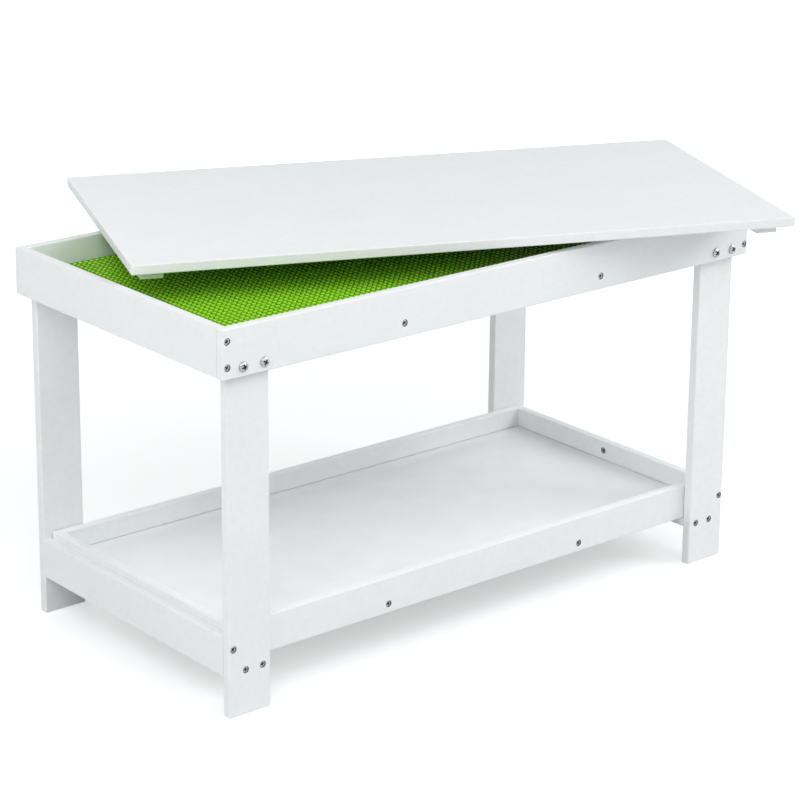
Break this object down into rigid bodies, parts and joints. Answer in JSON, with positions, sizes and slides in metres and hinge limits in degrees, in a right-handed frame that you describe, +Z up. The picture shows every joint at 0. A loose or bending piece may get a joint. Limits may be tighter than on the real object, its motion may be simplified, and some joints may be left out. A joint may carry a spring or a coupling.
{
  "type": "kids table with storage",
  "caption": "Low white board table for children: shallow tray with a studded brick mat under a loose lift-off lid, board legs, and an open storage tray near the floor.",
  "frame": {"origin": "on the floor, midway between the feet and below the middle of the play tray", "axes": "+X along the table's length, to the right as seen from the front; +Y to the back; +Z up"},
  "size_m": [0.936, 0.706, 0.492],
  "materials": {
    "white_board": "medium-density fibreboard, white lacquer, satin",
    "white_panel": "thin fibreboard, white lacquer, satin",
    "lime_mat": "moulded lime green plastic, semi-gloss",
    "zinc_steel": "zinc plated, bright"
  },
  "bodies": {
    "table": {"front_rail": "white_board", "rear_rail": "white_board", "left_end_rail": "white_board", "right_end_rail": "white_board", "tray_floor": "white_panel", "tray_batten_left": "white_board", "tray_batten_right": "white_board", "stud_mat": "lime_mat", "front_left_leg": "white_board", "front_right_leg": "white_board", "rear_left_leg": "white_board", "rear_right_leg": "white_board", "left_stretcher": "white_board", "right_stretcher": "white_board", "left_bearer": "white_board", "right_bearer": "white_board", "storage_front_rail": "white_board", "storage_rear_rail": "white_board", "storage_left_rail": "white_board", "storage_right_rail": "white_board", "storage_floor": "white_panel", "storage_batten_left": "white_board", "storage_batten_right": "white_board", "tray_corner_screws": "zinc_steel", "tray_batten_screws": "zinc_steel", "leg_bolts": "zinc_steel", "leg_insert_nuts": "zinc_steel", "stretcher_screws": "zinc_steel", "bearer_screws": "zinc_steel", "storage_corner_screws": "zinc_steel", "storage_batten_screws": "zinc_steel", "storage_fixing_screws": "zinc_steel"},
    "lid": {"lid_panel": "white_board", "lid_batten_left": "white_board", "lid_batten_right": "white_board"}
  },
  "joints": [
    {"name": "lid_lift", "type": "slide", "parent": "table", "child": "lid", "axis": [0, 0, 1], "range_m": [0, 0.25]}
  ]
}
